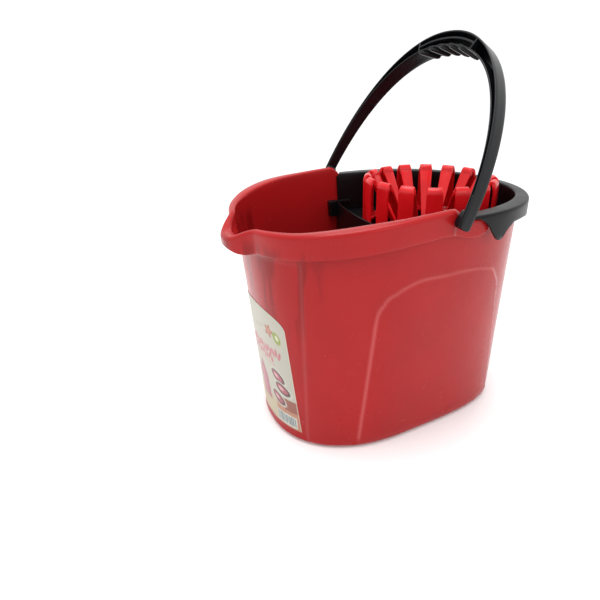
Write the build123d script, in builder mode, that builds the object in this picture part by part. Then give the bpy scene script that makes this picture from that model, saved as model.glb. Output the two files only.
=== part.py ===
from build123d import *
import os
from math import atan2, copysign, cos, pi, radians, sin, sqrt, tan

# Mop bucket with a lift-out wringer basket. Millimetres, +Z up, origin on the
# floor under the middle of the bucket's length. The pouring spout points to -X
# and the wringer end to +X. The two long sides face -Y and +Y.

# ---- Bucket body ----
WALL = 2.4  # moulded wall
FLOOR = 3.0
FOOT_RADIUS = 8.0  # rounding between the wall and the foot
PANEL_PROUD = 1.2  # the side panels stand out from the wall
FOOT_RECESS = 2.0  # the underside is hollow inside a standing ring
FOOT_RING = 12.0
# Plan of the outer wall: centre, reach to the spout end, reach to the wringer
# end, half-width, and how square each end is (2 is an ellipse).
FOOT_OVAL = (-17.3, 134.4, 180.1, 109.0, 2.3, 3.8)
SHOULDER_OVAL = (-2.4, 164.9, 181.5, 129.3, 2.4, 2.5)
SHOULDER_Z = 254.0
CUT_TOP = 310.0  # above everything that is trimmed
REAR_EDGE_Z = 279.0  # the wall's top edge under the wringer frame
REAR_X = 195.0  # behind everything

# ---- Rim band: a hanging skirt round the front half ----
BAND_CENTRE = -49.4
BAND_REACH = 122.4
BAND_HALF_WIDTH = 137.0
BAND_SQUARENESS = 2.24
BAND_WALL = 2.4
BAND_TOP = 2.8
BAND_LOW = 230.0
BAND_END_X = 62.0  # the band ends under the wringer frame's side tab
JOGGLE_X = (7.0, 11.0)  # behind the ear the band steps in
JOGGLE = 1.8
SPOUT_REACH = 18.0  # how far the lip stands out from the oval
SPOUT_HALF_WIDTH = 44.0
SPOUT_FILLED_X = -160.0  # the band is solid in front of this

# ---- Handle and its pivot ----
PIVOT_X, PIVOT_Z = 10.5, 279.4
PIN_RADIUS = 4.0
PIN_CLEARANCE = 0.06
EAR_BOSS_RADIUS = 9.0
LEAN = 28.8  # degrees back from upright at rest
BAIL_DROP = 27.0  # the arch's widest level lies this far under the pivot
BAIL_OUTER = (151.9, 223.8, 2.1)  # half-width, height above that level, squareness
BAIL_INNER = (147.0, 206.3, 2.2)
BAIL_WIDTH_LOW, BAIL_WIDTH_HIGH = 13.5, 19.9
BAIL_SKIN = 1.7  # the two walls and the back of the channel section
CHANNEL_START = 28.0  # solid legs up to here, above the pivot
GRIP_HALF = 48.0
RIB = 2.2
RIDGES = 5
RIDGE_PITCH = 17.5
RIDGE_WIDTH = 9.0
RIDGE_PROUD = 3.2
RIDGE_SLANT = 38.0

# ---- Wringer frame ----
COLLAR_CENTRE = 32.0
COLLAR_REACH = 158.0
COLLAR_HALF_WIDTH = 142.4
COLLAR_SQUARENESS = 2.2
COLLAR_TOP = 282.3
COLLAR_PLATE = 3.0
COLLAR_SKIN = 2.4
COLLAR_START_X = 24.0
SKIRT_START_X = 36.0
TAB_X, TAB_TIP_Z = 69.0, 251.0
APRON = 2.2
APRON_GAP = 0.6  # between the frame and the bucket's inner wall
APRON_START_X = 14.0
DECK_TOP = 230.0
DECK = 2.5
SEAT_TUBE = 12.0
CROSS_WALL_X = -6.5  # front face at the middle
CROSS_WALL_SIDE = (10.0, 120.0)  # the same face where it meets the bucket wall
CROSS_WALL = 2.2
CROSS_WALL_TOP, CROSS_WALL_LOW = 245.0, 186.0
LUG_X = (-2.0, 12.0)
LUG_Z = (225.0, 246.0)
LUG_DEPTH = 7.0

# ---- Wringer basket ----
BASKET_X = 81.5
FINGERS = 16
FINGER_SHARE = 0.525  # of each pitch; the rest is the gap
FINGER_TOP = 296.0
OUTER_FACE = 84.6
FINGER_SKIN = 2.6
LEG_TOP_WIDTH = 11.0  # across both legs just under the round top
CUP_RADIUS = 31.0
CUP_TOP, CUP_LOW = 200.0, 186.0
RING_INSIDE = 75.5
SEAT_GAP = 0.3
DECK_HOLE = 79.0
SLOT_FLOOR = 236.0
DRAIN_RADIUS = 2.5
DRAIN_CIRCLE = 18.0
DRAINS = 8

# ---- Front label ----
LABEL_HALF_WIDTH = 59.0
LABEL_LOW, LABEL_SHOULDER, LABEL_HIGH = 16.0, 146.0, 176.0
LABEL_THICK = 0.3
LABEL_GAP = 0.02

OVAL_POINTS = 64
os.makedirs("parts", exist_ok=True)


def power_ring(angle, centre, reach, half_width, squareness):
    """A point of an oval whose corners are squarer than an ellipse's."""
    c, s = cos(angle), sin(angle)
    power = 2.0 / squareness
    return (centre + reach * copysign(abs(c) ** power, c), half_width * copysign(abs(s) ** power, s))


def oval_point(oval, angle, inset):
    centre, front, back, half_width, front_n, back_n = oval
    front_side = cos(angle) < 0
    reach, squareness = (front, front_n) if front_side else (back, back_n)
    return power_ring(angle, centre, reach - inset, half_width - inset, squareness)


def wall_ring(z, inset):
    """The wall's plan at a height, as a ring of points, moved inwards by inset."""
    share = z / SHOULDER_Z
    ring = []
    for step in range(OVAL_POINTS):
        angle = 2 * pi * step / OVAL_POINTS
        low, high = oval_point(FOOT_OVAL, angle, inset), oval_point(SHOULDER_OVAL, angle, inset)
        ring.append((low[0] + (high[0] - low[0]) * share, low[1] + (high[1] - low[1]) * share))
    return ring


def wall_face(z, inset=0.0):
    """One level of the wall, as a flat face."""
    with BuildSketch(Plane.XY.offset(z)) as level:
        with BuildLine():
            Spline(*wall_ring(z, inset), periodic=True)
        make_face()
    return level.sketch.face()


def wall_solid(inset, low=0.0, high=CUT_TOP, mode=Mode.ADD):
    """The wall's tapered outside between two heights, moved inwards by inset."""
    block = loft([wall_face(0.0, inset), wall_face(CUT_TOP, inset)], ruled=True, mode=Mode.PRIVATE)
    slab = Box(600, 600, high - low, align=(Align.CENTER, Align.CENTER, Align.MIN), mode=Mode.PRIVATE)
    kept = block if (low, high) == (0.0, CUT_TOP) else block & Pos(0, 0, low) * slab
    add(kept, mode=mode)


def side_cut(curve, corners, low_curve=None, mode=Mode.INTERSECT):
    """Keep or cut what a side view encloses, right through the width.

    The outline is a smooth curve closed by straight lines through the corners, or by a second curve.
    """
    with BuildSketch(Plane.XZ) as view:
        with BuildLine():
            Spline(*curve)
            if low_curve:
                Spline(*low_curve)
                Polyline(curve[-1], *corners, low_curve[-1])
                Line(curve[0], low_curve[0])
            else:
                Polyline(curve[-1], *corners, curve[0])
        make_face()
    extrude(view.sketch, amount=200, both=True, mode=mode)


def rim_line(drop=0.0):
    """Top of the bucket seen from the side: lip, rising rim, ear, and the low rear edge."""
    rim = [(-192, 257.5), (-182, 264), (-170, 270.4), (-145, 276.0), (-120, 280.5), (-89, 284.6)]
    ear = [(-49, 287.6), (-15, 289.9), (4, 290.9), (12, 289.6), (18, 285.3), (22, REAR_EDGE_Z)]
    return [(x, z - drop) for x, z in rim + ear]


def skirt_line():
    return [(-192, 238), (-178, 241), (-166, 246), (-145, 250.5), (-100, 257), (-49, 261.5), (0, 264.4),
            (BAND_END_X + 2, 265.2)]


def spout_bulge(y):
    return SPOUT_REACH * cos(pi * y / (2 * SPOUT_HALF_WIDTH)) ** 2 if abs(y) < SPOUT_HALF_WIDTH else 0.0


def band_face(z, inset=0.0):
    """Plan of the rim band: round front with the spout, then straight sides to the tabs."""
    front = []
    for step in range(41):
        angle = radians(90 + 180 * step / 40)
        x, y = power_ring(angle, BAND_CENTRE, BAND_REACH - inset, BAND_HALF_WIDTH - inset, BAND_SQUARENESS)
        front.append((x - spout_bulge(y), y))
    side = BAND_HALF_WIDTH - inset
    stepped = side - JOGGLE
    sides = [(BAND_CENTRE, side), (JOGGLE_X[0], side), (JOGGLE_X[1], stepped), (BAND_END_X, stepped)]
    with BuildSketch(Plane.XY.offset(z)) as plan:
        with BuildLine():
            Spline(*front, tangents=[(-1, 0), (1, 0)])
            Polyline(*sides, *[(x, -y) for x, y in reversed(sides)])
        make_face()
    return plan.sketch


# ---- bucket ----
with BuildPart() as rim_band:
    extrude(band_face(BAND_LOW), amount=CUT_TOP - BAND_LOW)
    side_cut(rim_line(), [(BAND_END_X + 2, REAR_EDGE_Z)], skirt_line())

with BuildPart() as band_hollow:
    extrude(band_face(BAND_LOW - 1, BAND_WALL), amount=CUT_TOP - BAND_LOW)
    hollow_end = BAND_END_X + 2
    side_cut(rim_line(BAND_TOP), [(hollow_end, REAR_EDGE_Z - BAND_TOP), (hollow_end, 220), (-192, 220)])
    with Locations((SPOUT_FILLED_X - 50, 0, 260)):
        Box(100, 300, 120, mode=Mode.SUBTRACT)
    with Locations((PIVOT_X, 0, PIVOT_Z)):
        Cylinder(EAR_BOSS_RADIUS, 300, rotation=(90, 0, 0), mode=Mode.SUBTRACT)

with BuildPart() as spout_trough:
    with BuildSketch(Plane.XY.offset(244)):
        with Locations((-146, 0)):
            Ellipse(14, 16)
    with BuildSketch(Plane.XY.offset(276)):
        with Locations((-156, 0)):
            Ellipse(31.5, 40)
    loft()

with BuildPart() as side_panels:
    wall_solid(-PANEL_PROUD, 2, 250)
    with BuildSketch(Plane.XZ):
        with BuildLine():
            front_edge = Line((-81, 2), (-70, 176))
            crown = Spline((-70, 176), (-62, 198), (-31, 216.5), (12, 218.5), (54, 217), (88, 208), (107, 176),
                           tangents=[(11, 174), (-23, -168)])
            rear_edge = Line((107, 176), (131, 2))
            Line((131, 2), (-81, 2))
        make_face()
    extrude(amount=200, both=True, mode=Mode.INTERSECT)

with BuildPart() as wall_block:
    wall_solid(0.0)
    fillet(wall_block.edges().group_by(Axis.Z)[0], FOOT_RADIUS)
    side_cut(rim_line(), [(REAR_X, REAR_EDGE_Z), (REAR_X, -1), (-192, -1)])

with BuildPart() as rim_ring:
    add(rim_band.part)
    add(band_hollow.part, mode=Mode.SUBTRACT)

with BuildPart() as bucket:
    add(wall_block.part)
    add(rim_ring.part)
    add(side_panels.part)
    wall_solid(WALL, low=FLOOR + FOOT_RECESS, mode=Mode.SUBTRACT)
    add(spout_trough.part, mode=Mode.SUBTRACT)
    extrude(wall_face(0.0, FOOT_RING), amount=FOOT_RECESS, mode=Mode.SUBTRACT)
    with Locations((PIVOT_X, 0, PIVOT_Z)):
        Cylinder(PIN_RADIUS + PIN_CLEARANCE, 300, rotation=(90, 0, 0), mode=Mode.SUBTRACT)
bucket.part.label = "bucket"
export_step(bucket.part, "parts/bucket.step")

# ---- front label ----
with BuildPart() as label_inside:
    wall_solid(-LABEL_GAP, 1, 251)

with BuildPart() as front_label:
    wall_solid(-LABEL_GAP - LABEL_THICK, 1, 251)
    with BuildSketch(Plane.YZ) as label_outline:
        with BuildLine():
            arch = Spline((LABEL_HALF_WIDTH - 3, LABEL_SHOULDER), (40, 171), (0, LABEL_HIGH), (-40, 171),
                          (3 - LABEL_HALF_WIDTH, LABEL_SHOULDER), tangents=[(-0.05, 1), (-0.05, -1)])
            Polyline(arch @ 1, (-LABEL_HALF_WIDTH - 2, LABEL_LOW), (LABEL_HALF_WIDTH + 2, LABEL_LOW), arch @ 0)
        make_face()
    extrude(label_outline.sketch, amount=-250, mode=Mode.INTERSECT)
    add(label_inside.part, mode=Mode.SUBTRACT)
front_label.part.label = "front_label"
export_step(front_label.part, "parts/front_label.step")


# ---- wringer frame ----
def collar_face(z, inset=0.0):
    """Plan of the collar: round at the wringer end, open and straight towards the ears."""
    rear = []
    for step in range(41):
        angle = radians(-90 + 180 * step / 40)
        half_width = COLLAR_HALF_WIDTH - inset
        rear.append(power_ring(angle, COLLAR_CENTRE, COLLAR_REACH - inset, half_width, COLLAR_SQUARENESS))
    start = (COLLAR_START_X, rear[-1][1])
    with BuildSketch(Plane.XY.offset(z)) as plan:
        with BuildLine():
            Spline(*rear, tangents=[(1, 0), (-1, 0)])
            Polyline(rear[-1], start, (start[0], -start[1]), rear[0])
        make_face()
    return plan.sketch


with BuildPart() as collar:
    extrude(collar_face(240), amount=COLLAR_TOP - 240)
    fillet(collar.edges().group_by(Axis.Z)[-1], 2.5)
    # The lower edge hangs down in a pointed tab on each side and is level round the end.
    with BuildSketch(Plane.XZ) as collar_side:
        with BuildLine():
            Polyline((SKIRT_START_X, COLLAR_TOP - 3.5), (COLLAR_START_X, COLLAR_TOP - 3.5),
                     (COLLAR_START_X, COLLAR_TOP + 1), (REAR_X, COLLAR_TOP + 1), (REAR_X, 258))
            tip = Spline((SKIRT_START_X, COLLAR_TOP - 3.5), (52, 267), (63, 254), (TAB_X, TAB_TIP_Z),
                         (75, 253), (86, 262), (97, 266), (115, 265.5), (150, 261), (REAR_X, 258))
        make_face()
    extrude(collar_side.sketch, amount=200, both=True, mode=Mode.INTERSECT)
    # Hollow underneath, so that it sits over the bucket's edge.
    extrude(collar_face(239, COLLAR_SKIN), amount=COLLAR_TOP - COLLAR_PLATE - 239, mode=Mode.SUBTRACT)

side_x, side_y = CROSS_WALL_SIDE
bow = side_x - CROSS_WALL_X
bow_radius = (side_y**2 + bow**2) / (2 * bow)
bow_centre = CROSS_WALL_X + bow_radius
wide = 2 * COLLAR_HALF_WIDTH
with BuildPart() as frame_inside:
    # The space above the deck, behind the cross wall.
    wall_solid(WALL + APRON_GAP + APRON, low=DECK_TOP)
    with Locations((bow_centre, 0, CUT_TOP - 60)):
        Cylinder(bow_radius - CROSS_WALL, 200, mode=Mode.INTERSECT)

with BuildPart() as frame_outside:
    wall_solid(WALL + APRON_GAP)

with BuildPart() as frame_tub:
    # Cross wall, bowed towards the spout.
    with BuildSketch(Plane.XY.offset(CROSS_WALL_LOW)):
        with Locations((bow_centre, 0)):
            Circle(bow_radius)
            Circle(bow_radius - 3 * CROSS_WALL, mode=Mode.SUBTRACT)
        with Locations((0, 0)):
            Rectangle(60, wide, mode=Mode.INTERSECT)
    extrude(amount=CROSS_WALL_TOP - CROSS_WALL_LOW)
    # Deck and apron, still solid between them.
    with BuildSketch(Plane.XY.offset(DECK_TOP - DECK)):
        with Locations((bow_centre, 0)):
            Circle(bow_radius - CROSS_WALL / 2)
        with Locations((100, 0)):
            Rectangle(260, wide, mode=Mode.INTERSECT)
    extrude(amount=DECK)
    with BuildSketch(Plane.XY.offset(DECK_TOP - DECK)):
        with Locations((APRON_START_X + 100, 0)):
            Rectangle(200, wide)
    extrude(amount=COLLAR_TOP - COLLAR_PLATE / 2 - DECK_TOP + DECK)
    # Lugs that stand forward of the cross wall, against the bucket's sides.
    with Locations((0, side_y + 15, 0), (0, -side_y - 15, 0)):
        with Locations(((LUG_X[0] + LUG_X[1]) / 2, 0, (LUG_Z[0] + LUG_Z[1]) / 2)):
            Box(LUG_X[1] - LUG_X[0], 30 + LUG_DEPTH, LUG_Z[1] - LUG_Z[0])
    add(frame_outside.part, mode=Mode.INTERSECT)

with BuildPart() as wringer_frame:
    add(collar.part)
    add(frame_tub.part)
    add(frame_inside.part, mode=Mode.SUBTRACT)
    under_deck = DECK_TOP - DECK
    with Locations((bow_centre, 0, under_deck)):
        Cylinder(bow_radius - CROSS_WALL, 60, align=(Align.CENTER, Align.CENTER, Align.MAX), mode=Mode.SUBTRACT)
    # Seat tube under the deck, for the basket.
    with Locations((BASKET_X, 0, under_deck + 1)):
        Cylinder(DECK_HOLE + 2.5, SEAT_TUBE, align=(Align.CENTER, Align.CENTER, Align.MAX))
    with Locations((BASKET_X, 0, DECK_TOP - 10)):
        Cylinder(DECK_HOLE, 60, mode=Mode.SUBTRACT)
wringer_frame.part.label = "wringer_frame"
export_step(wringer_frame.part, "parts/wringer_frame.step")


# ---- wringer basket ----
def radial_slot(inner, outer):
    """The gap between two fingers, as a wedge that points at the basket's centre."""
    half = pi * (1 - FINGER_SHARE) / FINGERS
    spread_in, spread_out = inner * tan(half), outer * tan(half)
    Polygon((inner, -spread_in), (outer, -spread_out), (outer, spread_out), (inner, spread_in), align=None)


basket_plane = Plane(origin=(BASKET_X, 0, 0), x_dir=(1, 0, 0), z_dir=(0, -1, 0))
seat = DECK_TOP + SEAT_GAP
with BuildPart() as wringer_basket:
    with BuildSketch(basket_plane):
        # One hairpin finger seen from the side, joined to the seat ring and the drain cup.
        with BuildLine():
            outer_high, inner_high = (OUTER_FACE, FINGER_TOP - 5.5), (OUTER_FACE - LEG_TOP_WIDTH, FINGER_TOP - 6.5)
            cup_inside = CUP_RADIUS - FINGER_SKIN
            Spline(outer_high, (OUTER_FACE - LEG_TOP_WIDTH / 2 + 0.8, FINGER_TOP), inner_high,
                   tangents=[(0, 1), (-0.45, -0.9)])
            Polyline(inner_high, (cup_inside, CUP_TOP), (cup_inside, CUP_LOW + 3), (0, CUP_LOW + 3), (0, CUP_LOW),
                     (CUP_RADIUS, CUP_LOW), (CUP_RADIUS + 0.3, CUP_TOP),
                     (OUTER_FACE - LEG_TOP_WIDTH + FINGER_SKIN, FINGER_TOP - 8),
                     (OUTER_FACE - FINGER_SKIN, FINGER_TOP - 8), (OUTER_FACE - FINGER_SKIN, SLOT_FLOOR - 3),
                     (RING_INSIDE, SLOT_FLOOR - 3), (RING_INSIDE, seat), (OUTER_FACE, seat), outer_high)
        make_face()
    revolve(axis=Axis((BASKET_X, 0, 0), (0, 0, 1)))
    with BuildSketch(Plane.XY.offset(SLOT_FLOOR)):
        with Locations((BASKET_X, 0)):
            with PolarLocations(0, FINGERS):
                radial_slot(70, OUTER_FACE + 4)
    extrude(amount=FINGER_TOP, mode=Mode.SUBTRACT)
    with BuildSketch(Plane.XY.offset(CUP_TOP + 3)):
        with Locations((BASKET_X, 0)):
            with PolarLocations(0, FINGERS):
                radial_slot(CUP_RADIUS - 6, 72)
    extrude(amount=FINGER_TOP, mode=Mode.SUBTRACT)
    with Locations((BASKET_X, 0, CUP_LOW + 1.5)):
        with PolarLocations(DRAIN_CIRCLE, DRAINS):
            Hole(DRAIN_RADIUS, 8)
wringer_basket.part.label = "wringer_basket"
export_step(wringer_basket.part, "parts/wringer_basket.step")

# ---- handle ----
lean = radians(LEAN)
ahead = (cos(lean), 0, -sin(lean))  # square to the arch, towards the wringer end
pivot = (PIVOT_X, 0, PIVOT_Z)
arch_plane = Plane(origin=pivot, x_dir=(0, 1, 0), z_dir=ahead)
edge_plane = Plane(origin=pivot, x_dir=ahead, z_dir=(0, -1, 0))


def arch_point(shape, height):
    """Half-width of an arch at a height above the pivot."""
    half_width, reach, squareness = shape
    share = (height + BAIL_DROP) / reach
    return half_width * (1 - share**squareness) ** (1 / squareness)


def arch_line(shape, low):
    """Right half of an arch from its lower end to its top, then the left half, as points."""
    half_width, reach, squareness = shape
    first = (((low + BAIL_DROP) / reach) ** (squareness / 2))
    turn = pi / 2 - atan2(first, sqrt(1 - first**2))
    right = []
    for step in range(25):
        angle = pi / 2 - turn * (1 - step / 24)
        across, up = power_ring(angle, 0, half_width, reach, squareness)
        right.append((across, up - BAIL_DROP))
    return right[:-1] + [(0, reach - BAIL_DROP)] + [(-y, z) for y, z in reversed(right[:-1])]


def arch_sketch(outer, inner, low):
    """The arch between two curves, cut off square at its lower ends."""
    outer_line, inner_line = arch_line(outer, low), arch_line(inner, low)
    with BuildSketch(arch_plane) as arch:
        with BuildLine():
            Spline(*outer_line)
            Spline(*inner_line)
            Line(outer_line[0], inner_line[0])
            Line(outer_line[-1], inner_line[-1])
        make_face()
    return arch.sketch


def shrink(shape, by):
    return (shape[0] - by, shape[1] - by, shape[2])


leg_low = -BAIL_WIDTH_LOW / 2
arch_high = BAIL_OUTER[1] - BAIL_DROP


def edge_profile(inset_back=0.0, mode=Mode.INTERSECT):
    """Width of the bail seen along the pivot: a round end, widening to the grip."""
    low, high = BAIL_WIDTH_LOW / 2, BAIL_WIDTH_HIGH / 2
    with BuildSketch(edge_plane) as profile:
        with BuildLine():
            Line((-low, 0), (-high, arch_high + 2))
            Line((-high, arch_high + 2), (high - inset_back, arch_high + 2))
            Line((high - inset_back, arch_high + 2), (low - inset_back, 0))
            ThreePointArc((low - inset_back, 0), (-inset_back / 2, -low), (-low, 0))
        make_face()
    extrude(profile.sketch, amount=200, both=True, mode=mode)


with BuildPart() as bail_blank:
    extrude(arch_sketch(BAIL_OUTER, BAIL_INNER, leg_low), amount=14, both=True)
    edge_profile()

with BuildPart() as bail_channel:
    channel = arch_sketch(shrink(BAIL_OUTER, BAIL_SKIN), shrink(BAIL_INNER, -BAIL_SKIN), CHANNEL_START)
    extrude(channel, amount=14, both=True)
    edge_profile(inset_back=BAIL_SKIN)
    # Cross ribs close the channel at both ends of the grip, and one rib runs along inside it.
    with Locations(arch_plane):
        with Locations((GRIP_HALF, 160, 0), (-GRIP_HALF, 160, 0)):
            Box(RIB, 120, 60, mode=Mode.SUBTRACT)
    middle = (BAIL_OUTER[1] + BAIL_INNER[1]) / 2
    mid_shape = (BAIL_INNER[0] + 2.6, middle, BAIL_INNER[2])
    with BuildPart(mode=Mode.PRIVATE) as mid_rib:
        extrude(arch_sketch(mid_shape, shrink(mid_shape, RIB), CHANNEL_START), amount=14, both=True)
        with Locations(arch_plane):
            with Locations((0, 160, 0)):
                Box(2 * GRIP_HALF, 120, 60, mode=Mode.INTERSECT)
    add(mid_rib.part, mode=Mode.SUBTRACT)

with BuildPart() as grip_ridges:
    extrude(arch_sketch(shrink(BAIL_INNER, -0.5), shrink(BAIL_INNER, RIDGE_PROUD), 100), amount=14, both=True)
    edge_profile()
    with BuildPart(mode=Mode.PRIVATE) as slats:
        with Locations(arch_plane):
            for ridge in range(RIDGES):
                with Locations(((ridge - (RIDGES - 1) / 2) * RIDGE_PITCH, 175, 0)):
                    Box(RIDGE_WIDTH * cos(radians(RIDGE_SLANT)), 80, 60, rotation=(0, RIDGE_SLANT, 0))
    add(slats.part, mode=Mode.INTERSECT)

with BuildPart() as handle:
    add(bail_blank.part)
    add(bail_channel.part, mode=Mode.SUBTRACT)
    add(grip_ridges.part)
    leg_inside = arch_point(BAIL_INNER, 0)
    pin_tip = 128.5
    for side in (-1, 1):
        with Locations((PIVOT_X, side * (leg_inside + 1 + pin_tip) / 2, PIVOT_Z)):
            Cylinder(PIN_RADIUS, leg_inside + 1 - pin_tip, rotation=(90, 0, 0))
        boss_in = BAND_HALF_WIDTH + 0.4
        with Locations((PIVOT_X, side * (leg_inside + 1 + boss_in) / 2, PIVOT_Z)):
            Cylinder(BAIL_WIDTH_LOW / 2 - 0.4, leg_inside + 1 - boss_in, rotation=(90, 0, 0))
handle.part.label = "handle"
export_step(handle.part, "parts/handle.step")

for piece in (bucket, front_label, wringer_frame, wringer_basket, handle):
    box = piece.part.bounding_box()
    print(piece.part.label, len(piece.part.solids()), round(piece.part.volume), box.min, box.max)
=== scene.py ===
"""Looks of an oval mop bucket with a clip-on wringer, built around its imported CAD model."""

import math

import bmesh
import bpy
import numpy as np
from mathutils import Matrix, Vector


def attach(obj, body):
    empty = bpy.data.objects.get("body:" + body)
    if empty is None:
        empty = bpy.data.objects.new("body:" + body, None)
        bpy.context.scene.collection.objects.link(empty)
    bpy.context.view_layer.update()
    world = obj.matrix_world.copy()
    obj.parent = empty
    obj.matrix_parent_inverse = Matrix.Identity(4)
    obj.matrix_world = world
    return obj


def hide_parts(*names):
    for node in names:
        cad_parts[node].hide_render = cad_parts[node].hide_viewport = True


bl_info = {
    "name": "Mop Bucket",
    "version": (1, 0, 0),
    "blender": (4, 5, 0),
    "location": "View3D > Sidebar > Mop Bucket",
    "description": "Builds a mop bucket with its wringer, bail handle and label around a CAD frame",
    "category": "Add Mesh",
}

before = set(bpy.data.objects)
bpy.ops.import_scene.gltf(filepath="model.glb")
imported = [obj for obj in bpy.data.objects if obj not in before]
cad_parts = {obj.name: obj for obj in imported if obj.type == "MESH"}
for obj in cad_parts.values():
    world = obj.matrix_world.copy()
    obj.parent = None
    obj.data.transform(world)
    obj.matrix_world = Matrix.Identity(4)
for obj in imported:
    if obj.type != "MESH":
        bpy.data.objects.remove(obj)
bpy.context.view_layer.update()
MM = 0.001
TAU = 2 * math.pi

# Plan of the bucket's outer wall: centre, reach to the spout end, reach to the wringer end,
# half-width, and how square each end is. All lengths in this file are in millimetres.
FOOT_OVAL = (-17.3, 134.4, 180.1, 109.0, 2.3, 3.8)
SHOULDER_OVAL = (-2.4, 164.9, 181.5, 129.3, 2.4, 2.5)
SHOULDER_Z = 254.0
# Plan of the rim band, its wavy top line and the lower edge of its hanging skirt, seen from the side.
BAND_CENTRE, BAND_REACH, BAND_HALF, BAND_POWER = -49.4, 122.4, 137.0, 2.24
RIM_LINE = ((-194, 256.5), (-186, 261), (-178, 266.2), (-170, 270.4), (-145, 276.0), (-120, 280.5),
            (-89, 284.6), (-49, 287.6), (-15, 289.9), (4, 290.9), (12, 289.2), (17, 285.6), (21, 281.2),
            (24, 279.2), (30, 279.0), (195, 279.0))
SKIRT_LINE = ((-194, 249), (-188, 244.5), (-183, 242), (-178, 241.8), (-166, 246), (-145, 250.5),
              (-100, 257), (-49, 261.5), (0, 264.4), (58, 265.2), (66, 273.8), (195, 273.8))
SPOUT_REACH, SPOUT_HALF = 18.0, 44.0
# Height of the inner floor, rounding of its corner, and rounding of the outer wall into the foot.
INSIDE_FLOOR_Z, INSIDE_ROUND, FOOT_ROUND = 5.0, 7.0, 8.0
# Handle: pivot, lean at rest, and the two power curves of the arch (half-width, height, squareness).
PIVOT_X, PIVOT_Z, LEAN = 10.5, 279.4, math.radians(28.8)
BAIL_DROP = 27.0
BAIL_OUTER = (151.9, 223.8, 2.1)
BAIL_INNER = (147.0, 206.3, 2.2)
BAIL_WIDTH = (13.5, 19.9)
# Wringer frame and basket.
COLLAR_CENTRE, COLLAR_REACH, COLLAR_HALF, COLLAR_POWER = 32.0, 158.0, 142.4, 2.2
BASKET_X, BASKET_RADIUS = 81.5, 84.6
# Rounds of halving by which a place on a curved outline is found.
HALVINGS = 40


def settings():
    return bpy.context.scene.mop_bucket


# ---------------------------------------------------------------- plan and profile formulas


def power_curve(angle, centre, reach, half, power):
    """Points of an oval whose corners are squarer than an ellipse's."""
    c, s = np.cos(angle), np.sin(angle)
    x = centre + reach * np.sign(c) * np.abs(c) ** (2 / power)
    y = half * np.sign(s) * np.abs(s) ** (2 / power)
    return np.stack([x, y], -1)


def oval(angle, shape):
    centre, front, back, half, front_power, back_power = shape
    spout_end = power_curve(angle, centre, front, half, front_power)
    wringer_end = power_curve(angle, centre, back, half, back_power)
    return np.where((np.cos(angle) < 0)[:, None], spout_end, wringer_end)


def wall_plan(angle, z):
    """Outer wall of the bucket at heights z, one for each angle."""
    low, high = oval(angle, FOOT_OVAL), oval(angle, SHOULDER_OVAL)
    return low + (high - low) * (np.asarray(z, float) / SHOULDER_Z)[..., None]


def smooth_line(points, x):
    """A curve through points given in order of x, with no overshoot where it levels out."""
    px, py = np.array(points, float).T
    step = np.diff(px)
    slope = np.diff(py) / step
    mean = (slope[:-1] * step[1:] + slope[1:] * step[:-1]) / (step[:-1] + step[1:])
    tangent = np.concatenate([[slope[0]], np.where(slope[:-1] * slope[1:] > 0, mean, 0), [slope[-1]]])
    i = np.clip(np.searchsorted(px, x) - 1, 0, len(step) - 1)
    t = np.clip((x - px[i]) / step[i], 0, 1)
    h = step[i]
    return (py[i] * (1 + 2 * t) * (1 - t) ** 2 + h * tangent[i] * t * (1 - t) ** 2
            + py[i + 1] * t * t * (3 - 2 * t) + h * tangent[i + 1] * t * t * (t - 1))


def ease(x, low, high):
    """0 before low, 1 after high, smooth between them."""
    t = np.clip((np.asarray(x, float) - low) / (high - low), 0, 1)
    return t * t * (3 - 2 * t)


def spout_bulge(y):
    share = np.clip(np.abs(y) / SPOUT_HALF, 0, 1)
    return SPOUT_REACH * np.cos(math.pi / 2 * share**1.35) ** 2


def right_of(tangent):
    """Unit vectors a quarter turn clockwise from the directions given."""
    normal = np.stack([tangent[:, 1], -tangent[:, 0]], -1)
    return normal / np.linalg.norm(normal, axis=1)[:, None]


def outward(plan):
    """Unit normals of a closed plan that runs anticlockwise."""
    return right_of(np.roll(plan, -1, 0) - np.roll(plan, 1, 0))


def stand_off(inside, plan, normal, limit):
    """How far a face stands out from a plan along its normals, found by halving."""
    low, high = np.zeros(len(plan)), np.full(len(plan), limit)
    for _ in range(HALVINGS):
        mid = (low + high) / 2
        at = plan + normal * mid[:, None]
        outside = inside(at[:, 0], at[:, 1]) > 0
        low, high = np.where(outside, low, mid), np.where(outside, mid, high)
    return low


def in_band(x, y):
    """Below zero inside the plan of the rim band."""
    side = BAND_HALF - 1.8 * ease(x, 7, 11)
    moved = np.where(x < -100, x + spout_bulge(y), x)
    ahead = np.clip((BAND_CENTRE - moved) / BAND_REACH, 0, None)
    return ahead**BAND_POWER + np.abs(y / side) ** BAND_POWER - 1


def band_offset(plan, normal):
    """How far the band's face stands out from the shoulder, with a narrow ledge left under the collar."""
    front = stand_off(in_band, plan, normal, 45.0)
    rear = ease(plan[:, 0], 52, 62)
    return front * (1 - rear) + 6.0 * rear


# ---------------------------------------------------------------- mesh helpers


def new_mesh(name, vertices, faces):
    """A piece from points in millimetres."""
    mesh = bpy.data.meshes.new(name)
    mesh.from_pydata((np.asarray(vertices, float) * MM).tolist(), [], faces)
    mesh.validate()
    mesh.update()
    piece = bpy.data.objects.new(name, mesh)
    bpy.context.scene.collection.objects.link(piece)
    return piece


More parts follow.
